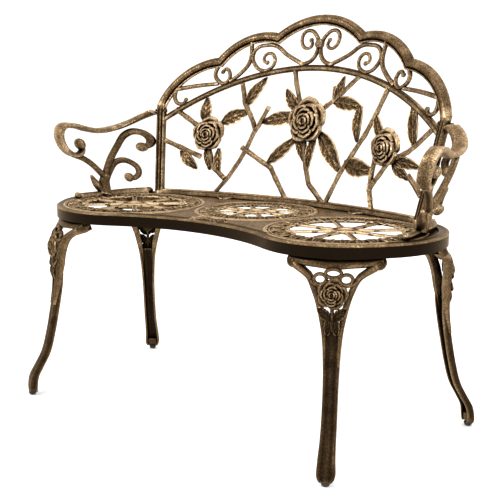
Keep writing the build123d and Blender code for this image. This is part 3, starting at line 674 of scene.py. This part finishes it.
def arm(name, place, nodes):
    """Band with its ball, front strut, two scrolls with balls, foot, spur and base rail."""
    parts = [bar([(y, z) for y, z in band_route], [(-a, b) for a, b in band_section], sizes=band_sizes,
                 steps=10)]
    parts.append(ball((-54, 121), 13.5, 0, 1.05))
    parts.append(bar([(-84, 99), (-50, 86), (-22, 64), (-5, 40), (-10, 20), (-16, 6)], strut_section,
                     sizes=[0.9, 0.95, 1, 1.05, 1.15, 1.5], steps=8))
    parts.append(bar([(-8, 30), (10, 60), (50, 108), (82, 140), (102, 143), (116, 132), (116, 114),
                      (105, 106)],
                     strut_section, sizes=[1.1, 1.05, 1, 1, 0.98, 0.92, 0.85, 0.8], steps=8))
    parts.append(ball((102, 107), 11.2))
    parts.append(bar([(-6, 26), (18, 56), (46, 77), (74, 72), (86, 52), (76, 37), (64, 36)], strut_section,
                     sizes=[1, 0.92, 0.9, 0.86, 0.82, 0.78, 0.72], steps=8))
    parts.append(ball((62, 38), 11.0))
    parts.append(bar([(-15, 5), (-10, 24), (0, 48)], strut_section, sizes=[2.3, 1.9, 1.3], steps=8))
    parts.append(bar([(-20, 12), (-34, 30), (-44, 50)], strut_section, sizes=[1.2, 1.25, 0.5], steps=8))
    base = [(-98 + 193 * i / 24, 6.4) for i in range(25)]
    parts.append(bar(base, [(-a, b) for a, b in base_section], smooth=False))
    parts.append(ball((-98, 7.2), 8.6))
    parts.append(ball((96, 7.0), 7.6))
    settle(joined(name, parts), place, frame_finish, nodes)


arm("arm_right_casting", on_arm, ["arm_right"])
arm("arm_left_casting", on_left_arm, ["arm_left"])

# ---------------------------------------------------------------- Legs
# Four like cabriole castings: a channel open to the inside, and a bracket that holds a rose.
# Each is drawn flat, laid on its S-shaped face and set round the centre of its corner.
LEG_FACE = 164
SHIN_FOOT, SHIN_LENGTH, SHIN_WALL = 8, 262, 4.0
RAIL_START = 200
LEG_CURVE = [(8, 86), (21, 86), (43, 82), (63, 71), (95, 54), (138, 42), (182, 33), (216, 27), (250, 23),
             (300, 22), (337, 19), (358, 12), (387, 0), (404, 0)]
LEG_HALF = [(8, 12), (13, 15.4), (20, 16.8), (40, 15.8), (81, 14), (182, 14), (250, 18.2), (301, 28),
            (331, 37.8), (358, 53),
            (368, 74), (378, 86), (404, 88)]
leg_finish = bronze("leg bronze", 0.72)


def smooth_at(table, z):
    """Read a curve through the table's points, eased between them."""
    z = min(max(z, table[0][0]), table[-1][0])
    for i in range(len(table) - 1):
        (z0, a), (z1, b) = table[i], table[i + 1]
        if z <= z1:
            before, after = table[max(i - 1, 0)], table[min(i + 2, len(table) - 1)]
            slope_a = (b - before[1]) / (z1 - before[0])
            slope_b = (after[1] - a) / (after[0] - z0)
            t, run = (z - z0) / (z1 - z0), z1 - z0
            return ((2 * t ** 3 - 3 * t ** 2 + 1) * a + (t ** 3 - 2 * t ** 2 + t) * run * slope_a
                    + (3 * t ** 2 - 2 * t ** 3) * b + (t ** 3 - t ** 2) * run * slope_b)
    return table[-1][1]


def shin():
    """The channel from the foot up to the bracket, with raised edges and a ridge down the middle."""
    rows, columns = 64, 24
    bpy.ops.object.select_all(action="DESELECT")
    bpy.ops.mesh.primitive_grid_add(x_subdivisions=columns, y_subdivisions=rows, size=2, location=(0, 0, 0))
    piece = bpy.context.object
    shape = [(-1, -16), (-1, -9), (-1, -4.5), (-0.96, -2.2), (-0.85, -0.9), (-0.66, -0.5), (-0.46, -1.5),
             (-0.25, -0.7), (0, 0), (0.25, -0.7), (0.46, -1.5), (0.66, -0.5), (0.85, -0.9), (0.96, -2.2),
             (1, -4.5), (1, -9), (1, -16)]
    for vertex in piece.data.vertices:
        spot = (vertex.co.x + 1) / 2 * (len(shape) - 1)
        i = min(int(spot), len(shape) - 2)
        t = spot - i
        across = shape[i][0] + (shape[i + 1][0] - shape[i][0]) * t
        out = shape[i][1] + (shape[i + 1][1] - shape[i][1]) * t
        z = SHIN_FOOT + SHIN_LENGTH * (vertex.co.y + 1) / 2
        out -= 4 * max(0, (z - 215) / 55) ** 1.5 * (1 if abs(across) < 0.9 else 0)
        vertex.co = (across * smooth_at(LEG_HALF, z), z, out)
    wall = piece.modifiers.new("wall", "SOLIDIFY")
    wall.thickness = SHIN_WALL
    wall.offset = -1
    only(piece)
    bpy.ops.object.modifier_apply(modifier="wall")
    return piece


def loop(centre, wide, high):
    """An open oval petal that ties the rose to the brow."""
    turns = [2 * math.pi * i / 24 for i in range(24)]
    oval = [(centre[0] + wide * math.cos(a), centre[1] + high * math.sin(a)) for a in turns]
    return bar(oval, round_section(6.4, 9, 8), closed=True, smooth=False)


def leg(name, corner, angle, nodes):
    """Shin and sole, two rails that spread to the brow, and the rose with its leaves and loops."""
    turn = Matrix.Rotation(angle, 4, "Z")

    def place(x, z, out):
        reach = LEG_FACE + smooth_at(LEG_CURVE, z) + out
        spot = turn @ Vector((math.sqrt(max(reach * reach - x * x, 0)), x, z))
        return ((spot.x + corner[0]) / 1000, (spot.y + corner[1]) / 1000, spot.z / 1000)

    parts = [shin()]
    bpy.ops.object.select_all(action="DESELECT")
    bpy.ops.mesh.primitive_cube_add(size=1, location=(0, 18, -8.6))
    sole = bpy.context.object
    sole.scale = (25, 19.6, 13)
    bpy.ops.object.transform_apply(location=True, rotation=True, scale=True)
    edge = sole.modifiers.new("edge", "BEVEL")
    edge.width = 5
    edge.segments = 3
    bpy.ops.object.modifier_apply(modifier="edge")
    parts.append(sole)
    rail_shape = [(-5, -15.5), (-5, -4), (-3.6, -0.8), (0, 0.4), (3.6, -0.8), (5, -4), (5, -15.5)]
    for s in (-1, 1):
        heights = range(RAIL_START, 368, 6)
        sizes = [min(1.15, 0.35 + 0.8 * (z - RAIL_START) / 90) for z in heights]
        route = [(s * (smooth_at(LEG_HALF, z) - 5 * size), z) for z, size in zip(heights, sizes)]
        route += [(s * 70, 371), (s * 77, 378)]
        parts.append(bar(route, rail_shape, sizes=[*sizes, 1.5, 1.6], smooth=False))
        parts.append(ball((s * 78, 377), 11.5, -8, 0.8))
        parts.append(leaf((s * 3, 284), (s * 25, 303), 16, 3.5, 0, 3))
        parts.append(leaf((s * 3, 290), (s * 9, 256), 13, 3.5, 0, 3))
        parts.append(bar([(s * 40, 349), (s * 31, 344), (s * 22, 342)], round_section(6, 7, 8), steps=4))
        parts.append(loop((s * 23, 353), 11, 8.5))
    parts.append(loop((0, 363), 14, 7))
    brow = [(-84, 383), (-60, 379.5), (-30, 378.5), (0, 377), (30, 378.5), (60, 379.5), (84, 383)]
    brow_shape = [(-8, -15), (-8, -5), (-5.5, -1), (0, 0.4), (5.5, -1), (8, -5), (8, -15)]
    parts.append(bar(brow, brow_shape, sizes=[0.8, 0.9, 1.05, 1.2, 1.05, 0.9, 0.8], steps=8))
    parts.append(bar([(-86 + 172 * i / 16, 394) for i in range(17)],
                     [(-9.5, -15), (-9.5, -3), (9.5, -3), (9.5, -15)], smooth=False))
    parts += rose((0, 329), 25, 10)
    parts.append(bar([(0, 312), (0, 296), (0, 262)], round_section(7, 7, 10), sizes=[1, 1, 0.6], steps=6))
    settle(joined(name, parts), place, leg_finish, nodes, 45)


for side, sign in (("right", 1), ("left", -1)):
    front, rear = math.radians(FRONT_LEG_TURN), math.radians(REAR_LEG_TURN)
    leg(f"leg_front_{side}_casting", (sign * LOBE[0], LOBE[1]), front if sign > 0 else math.pi - front,
        [f"leg_front_{side}"])
    leg(f"leg_rear_{side}_casting", (sign * CORNER[0], CORNER[1]), rear if sign > 0 else math.pi - rear,
        [f"leg_rear_{side}"])

# ---------------------------------------------------------------- Glides and fasteners
# Black nylon plugs pushed into the feet, and steel bolts and washers under the seat and at the posts.
# The fasteners are coated with the castings, in a thinner gold.


def black_nylon():
    """Dull black plastic, slightly mottled."""
    finish = bpy.data.materials.new("black nylon")
    finish.use_nodes = True
    nodes, links = finish.node_tree.nodes, finish.node_tree.links
    noise = nodes.new("ShaderNodeTexNoise")
    noise.inputs["Scale"].default_value = 260
    place = nodes.new("ShaderNodeTexCoord")
    mottle = nodes.new("ShaderNodeValToRGB")
    mottle.color_ramp.elements[0].color = (0.012, 0.011, 0.010, 1)
    mottle.color_ramp.elements[1].color = (0.035, 0.032, 0.030, 1)
    links.new(place.outputs["Object"], noise.inputs["Vector"])
    links.new(noise.outputs["Fac"], mottle.inputs["Fac"])
    links.new(mottle.outputs["Color"], nodes["Principled BSDF"].inputs["Base Color"])
    nodes["Principled BSDF"].inputs["Roughness"].default_value = 0.55
    return finish


nylon = black_nylon()
fastener_finish = bronze("coated steel", 0.8)
for name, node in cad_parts.items():
    if name.startswith("glide"):
        node.data.materials.clear()
        node.data.materials.append(nylon)
    if name.endswith(("bolts", "washers")):
        node.data.materials.clear()
        node.data.materials.append(fastener_finish)

# ---------------------------------------------------------------- Studio
# A pale floor, a bright even sky and soft lamps, seen from the right front, just below the crest's height.
bpy.ops.object.select_all(action="DESELECT")
bpy.ops.mesh.primitive_plane_add(size=30, location=(0, 0, 0))
floor = bpy.context.object
floor.name = "floor"
floor_finish = bpy.data.materials.new("pale floor")
floor_finish.use_nodes = True
floor_finish.node_tree.nodes["Principled BSDF"].inputs["Base Color"].default_value = (0.92, 0.92, 0.92, 1)
floor_finish.node_tree.nodes["Principled BSDF"].inputs["Roughness"].default_value = 0.9
floor.data.materials.append(floor_finish)

sky = bpy.data.worlds.new("studio")
bpy.context.scene.world = sky
sky.use_nodes = True
sky.node_tree.nodes["Background"].inputs["Color"].default_value = (1, 1, 1, 1)
sky.node_tree.nodes["Background"].inputs["Strength"].default_value = 1.1


def lamp(name, place, aim, size, power):
    """A square area lamp turned to face its aim."""
    light = bpy.data.lights.new(name, "AREA")
    light.size = size
    light.energy = power
    holder = bpy.data.objects.new(name, light)
    bpy.context.collection.objects.link(holder)
    holder.location = place
    holder.rotation_euler = (Vector(aim) - Vector(place)).to_track_quat("-Z", "Y").to_euler()


lamp("key", (-1.6, -2.6, 2.6), (0, 0, 0.45), 1.2, 60)
lamp("fill", (2.6, -1.6, 1.8), (0, 0, 0.45), 1.5, 30)
lamp("top", (0, 0.4, 3.0), (0, 0, 0.4), 2.0, 25)

CAMERA_PLACE = (1.365, -1.670, 0.742)
CAMERA_DOWN, CAMERA_TURN = 10.85, 39.06      # degrees
view = bpy.data.cameras.new("view")
view.lens = 74.8
view.sensor_width = 36
camera = bpy.data.objects.new("view", view)
bpy.context.collection.objects.link(camera)
camera.location = CAMERA_PLACE
camera.rotation_euler = (math.radians(90 - CAMERA_DOWN), 0, math.radians(CAMERA_TURN))
bpy.context.scene.camera = camera
bpy.context.scene.view_settings.view_transform = "Standard"
bpy.context.scene.view_settings.look = "Medium High Contrast"
